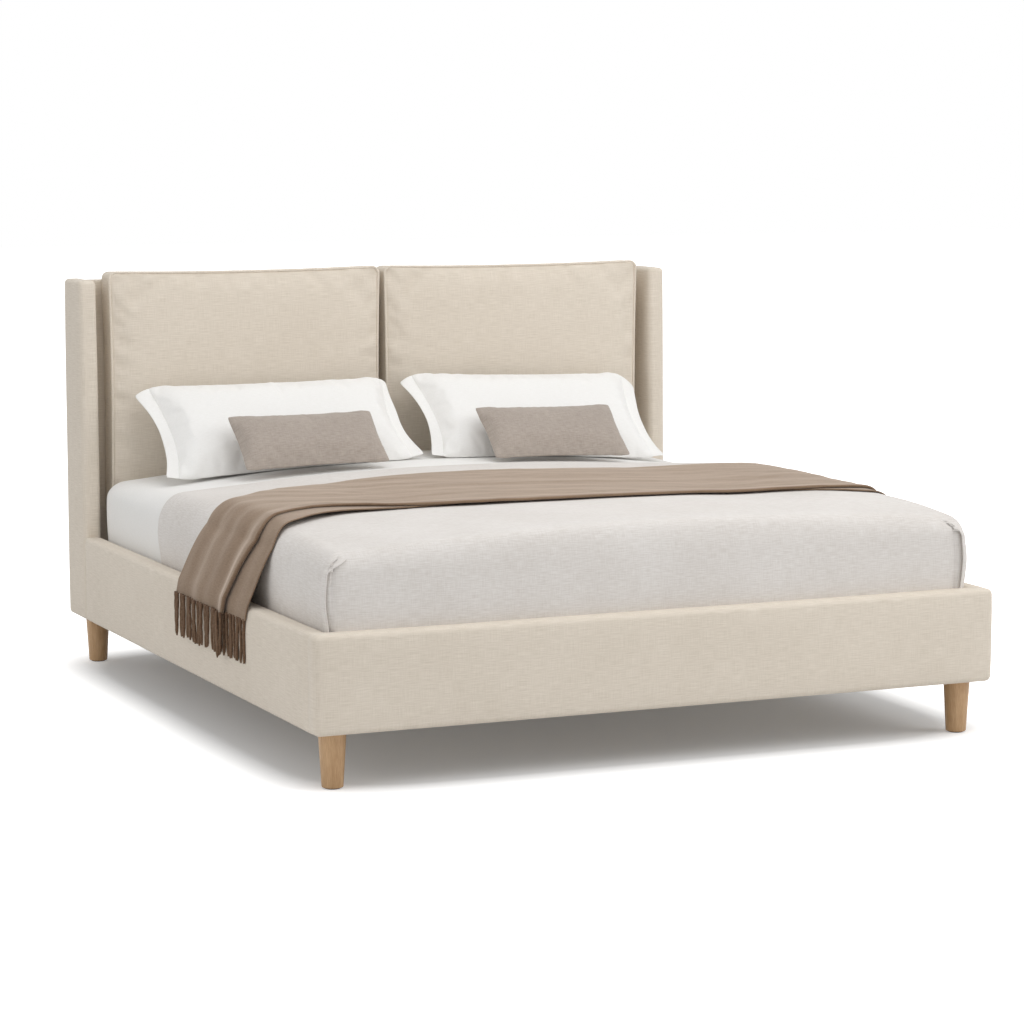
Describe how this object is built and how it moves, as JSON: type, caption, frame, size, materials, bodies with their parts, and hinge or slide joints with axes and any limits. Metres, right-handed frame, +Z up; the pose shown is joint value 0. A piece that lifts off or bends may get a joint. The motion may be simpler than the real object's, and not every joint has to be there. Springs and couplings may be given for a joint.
{
  "type": "upholstered bed",
  "caption": "Upholstered wingback bed on tapered wooden legs, with headboard cushions, mattress, coverlet, throw, pillows and small cushions.",
  "frame": {"origin": "on the floor, in the middle of the bed's outline", "axes": "+Z up, +Y towards the headboard, +X to the right of someone who looks at the bed from its foot"},
  "size_m": [2.1248, 2.29, 1.2644],
  "materials": {
    "upholstery": "woven linen-look upholstery cloth, matt",
    "foam": "polyether foam padding under the upholstery",
    "board": "chipboard and plywood core, sawn",
    "timber": "planed softwood",
    "hardboard": "thin hardboard facing",
    "oak": "turned oak, clear oiled",
    "birch": "bent laminated birch slats",
    "felt": "pressed felt floor glide",
    "zinc": "bright zinc plated steel",
    "black_steel": "black powder coated steel",
    "holder_plastic": "moulded black polypropylene",
    "foot_rubber": "moulded rubber foot",
    "hook_tape": "hook and loop tape",
    "ticking": "quilted mattress ticking",
    "sheet": "white cotton percale",
    "coverlet": "light warm grey washed cotton",
    "throw": "soft brushed wool blend",
    "pillow_case": "white cotton sateen",
    "small_cushion": "slubby linen"
  },
  "bodies": {
    "frame": {"footboard_cover": "upholstery", "left_rail_cover": "upholstery", "right_rail_cover": "upholstery", "left_wing_cover": "upholstery", "right_wing_cover": "upholstery", "headboard_panel_cover": "upholstery", "footboard_padding": "foam", "left_rail_padding": "foam", "right_rail_padding": "foam", "left_wing_padding": "foam", "right_wing_padding": "foam", "headboard_panel_padding": "foam", "footboard_board": "board", "left_rail_board": "board", "right_rail_board": "board", "left_wing_board": "board", "right_wing_board": "board", "headboard_frame": "timber", "corner_blocks": "timber", "left_ledger": "timber", "right_ledger": "timber", "centre_beam": "timber", "headboard_facings": "hardboard", "foot_left_leg": "oak", "foot_right_leg": "oak", "head_left_leg": "oak", "head_right_leg": "oak", "left_slats": "birch", "right_slats": "birch", "leg_glides": "felt", "corner_brackets": "zinc", "joining_plates": "zinc", "frame_bolts": "zinc", "ledger_screws": "zinc", "leg_bolts": "zinc", "beam_hangers": "zinc", "foot_centre_leg": "black_steel", "head_centre_leg": "black_steel", "slat_end_holders": "holder_plastic", "slat_centre_holders": "holder_plastic", "centre_leg_feet": "foot_rubber", "cushion_fixing_strips": "hook_tape"},
    "left_headboard_cushion": {"left_headboard_cushion": "upholstery", "left_headboard_cushion_piping": "upholstery"},
    "right_headboard_cushion": {"right_headboard_cushion": "upholstery", "right_headboard_cushion_piping": "upholstery"},
    "mattress": {"mattress": "ticking", "fitted_sheet": "sheet", "coverlet": "coverlet"},
    "left_pillow": {"left_pillow": "pillow_case"},
    "right_pillow": {"right_pillow": "pillow_case"},
    "left_small_cushion": {"left_small_cushion": "small_cushion"},
    "right_small_cushion": {"right_small_cushion": "small_cushion"},
    "throw": {"throw": "throw", "throw_fringe": "throw"}
  },
  "joints": [
    {"name": "mattress_lift", "type": "slide", "parent": "frame", "child": "mattress", "axis": [0, 0, 1], "range_m": [0, 1]},
    {"name": "left_headboard_cushion_lift", "type": "slide", "parent": "frame", "child": "left_headboard_cushion", "axis": [0, 0, 1], "range_m": [0, 0.8]},
    {"name": "right_headboard_cushion_lift", "type": "slide", "parent": "frame", "child": "right_headboard_cushion", "axis": [0, 0, 1], "range_m": [0, 0.8]},
    {"name": "left_pillow_lift", "type": "slide", "parent": "mattress", "child": "left_pillow", "axis": [0, 0, 1], "range_m": [0, 0.7]},
    {"name": "right_pillow_lift", "type": "slide", "parent": "mattress", "child": "right_pillow", "axis": [0, 0, 1], "range_m": [0, 0.7]},
    {"name": "left_small_cushion_lift", "type": "slide", "parent": "left_pillow", "child": "left_small_cushion", "axis": [0, 0, 1], "range_m": [0, 0.65]},
    {"name": "right_small_cushion_lift", "type": "slide", "parent": "right_pillow", "child": "right_small_cushion", "axis": [0, 0, 1], "range_m": [0, 0.65]},
    {"name": "throw_lift", "type": "slide", "parent": "mattress", "child": "throw", "axis": [0, 0, 1], "range_m": [0, 1.05]}
  ]
}
